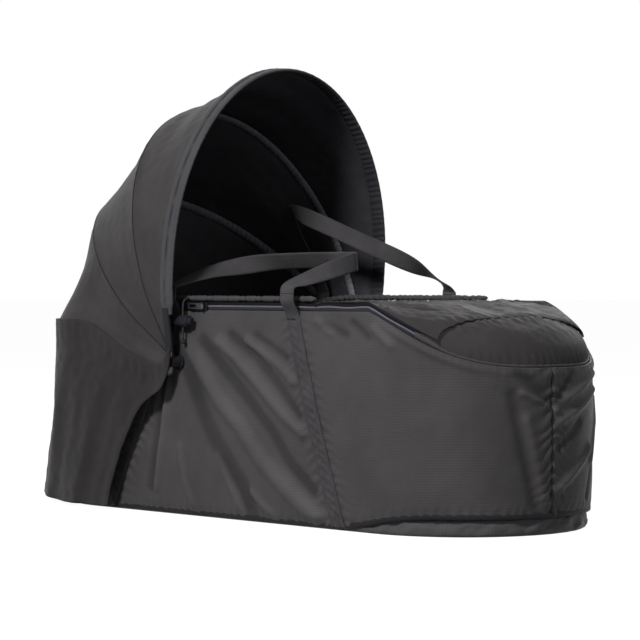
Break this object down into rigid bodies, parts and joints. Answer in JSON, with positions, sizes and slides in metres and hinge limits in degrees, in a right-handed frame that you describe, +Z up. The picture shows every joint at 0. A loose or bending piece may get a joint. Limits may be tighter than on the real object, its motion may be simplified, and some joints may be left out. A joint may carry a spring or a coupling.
{
  "type": "carrycot",
  "caption": "Soft carrycot with a stiff base, a folding hood on flat hoops, a zipped flap over the foot end and webbing carry handles.",
  "frame": {"origin": "centre of the rest face under the base, on the floor, midway along the overall length", "axes": "+X towards the foot end, +Y towards the far side, +Z up"},
  "size_m": [0.8139, 0.3656, 0.5529],
  "materials": {
    "ripstop": "charcoal ripstop nylon, slight sheen",
    "skirt_cloth": "thin charcoal nylon",
    "base_cloth": "black coated cloth",
    "lining": "black padded lining",
    "webbing": "woven charcoal webbing",
    "zip_tape": "woven tape with nylon coil",
    "plastic": "black moulded plastic",
    "steel": "dark nickel",
    "board": "grey fibre board",
    "ticking": "light mattress cover"
  },
  "bodies": {
    "cot": {"base_board": "board", "base_cover": "base_cloth", "base_strap_foot": "webbing", "base_strap_head": "webbing", "canopy_rear": "ripstop", "drawcord": "webbing", "foot_cover": "ripstop", "foot_panel": "ripstop", "head_panel": "ripstop", "hood_skirt": "skirt_cloth", "mattress": "ticking", "opening_hem": "ripstop", "pivot_cap_far": "steel", "pivot_cap_near": "steel", "pivot_plate_far": "plastic", "pivot_plate_near": "plastic", "sewn_strap_far_head": "webbing", "sewn_strap_far_middle": "webbing", "sewn_strap_near_head": "webbing", "sewn_strap_near_middle": "webbing", "side_panel_far": "ripstop", "side_panel_near": "ripstop", "wall_lining": "lining", "zip_garage_far": "zip_tape", "zip_garage_near": "zip_tape", "zip_lower_far": "zip_tape", "zip_lower_near": "zip_tape", "zip_upper_far": "zip_tape", "zip_upper_near": "zip_tape"},
    "rear_hoop": {"rear_hoop": "plastic", "rear_hoop_sleeve": "lining", "canopy_middle": "ripstop"},
    "middle_hoop": {"middle_hoop": "plastic", "middle_hoop_sleeve": "lining", "canopy_front": "ripstop"},
    "front_hoop": {"front_hoop": "plastic", "hood_rim": "ripstop"},
    "flap": {"foot_flap": "ripstop", "flap_hem": "ripstop", "flap_zip_near": "zip_tape", "flap_zip_far": "zip_tape"},
    "slider_near": {"zip_slider_near": "steel"},
    "slider_far": {"zip_slider_far": "steel"},
    "pull_near": {"zip_pull_near": "steel"},
    "pull_far": {"zip_pull_far": "steel"},
    "carry_handle_near": {"handle_near": "webbing"},
    "carry_handle_far": {"handle_far": "webbing"},
    "cord_lock": {"cord_lock_barrel": "plastic", "cord_lock_spring": "steel"},
    "cord_button": {"cord_lock_button": "plastic"}
  },
  "joints": [
    {"name": "rear_hoop_pivot", "type": "hinge", "parent": "cot", "child": "rear_hoop", "pos_m": [-0.075, 0, 0.188], "axis": [0, 1, 0], "range_deg": [-24, 0], "deforming": ["canopy_rear", "canopy_middle", "canopy_front"]},
    {"name": "middle_hoop_pivot", "type": "hinge", "parent": "rear_hoop", "child": "middle_hoop", "pos_m": [-0.075, 0, 0.188], "axis": [0, 1, 0], "range_deg": [-21, 0], "deforming": ["canopy_middle", "canopy_front"]},
    {"name": "front_hoop_pivot", "type": "hinge", "parent": "middle_hoop", "child": "front_hoop", "pos_m": [-0.075, 0, 0.188], "axis": [0, 1, 0], "range_deg": [-19.5, 0], "deforming": ["canopy_front"]},
    {"name": "flap_fold", "type": "hinge", "parent": "cot", "child": "flap", "pos_m": [0.3343, 0, 0.25], "axis": [0, 1, 0], "range_deg": [0, 150]},
    {"name": "slider_near_travel", "type": "slide", "parent": "cot", "child": "slider_near", "axis": [1, 0, 0], "range_m": [0, 0.265]},
    {"name": "slider_far_travel", "type": "slide", "parent": "cot", "child": "slider_far", "axis": [1, 0, 0], "range_m": [0, 0.265]},
    {"name": "pull_near_swing", "type": "hinge", "parent": "slider_near", "child": "pull_near", "pos_m": [-0.03, -0.1551, 0.25575], "axis": [0, 0, 1], "range_deg": [0, 150]},
    {"name": "pull_far_swing", "type": "hinge", "parent": "slider_far", "child": "pull_far", "pos_m": [-0.03, 0.1551, 0.25575], "axis": [0, 0, -1], "range_deg": [0, 150]},
    {"name": "handle_near_swing", "type": "hinge", "parent": "cot", "child": "carry_handle_near", "pos_m": [0.0135, -0.1618, 0.272], "axis": [1, 0, 0], "range_deg": [-12, 62]},
    {"name": "handle_far_swing", "type": "hinge", "parent": "cot", "child": "carry_handle_far", "pos_m": [0.0135, 0.1618, 0.272], "axis": [1, 0, 0], "range_deg": [-30, 42]},
    {"name": "cord_lock_slide", "type": "slide", "parent": "cot", "child": "cord_lock", "axis": [0, 0, 1], "range_m": [-0.012, 0.004]},
    {"name": "cord_button_press", "type": "slide", "parent": "cord_lock", "child": "cord_button", "axis": [-1, 0, 0], "range_m": [0, 0.0035], "stiffness_N_per_m": 400, "deforming": ["cord_lock_spring"]}
  ],
  "couplings": [
    {"joint": "middle_hoop_pivot", "follows": "rear_hoop_pivot", "ratio": 0.875},
    {"joint": "front_hoop_pivot", "follows": "rear_hoop_pivot", "ratio": 0.8125}
  ]
}
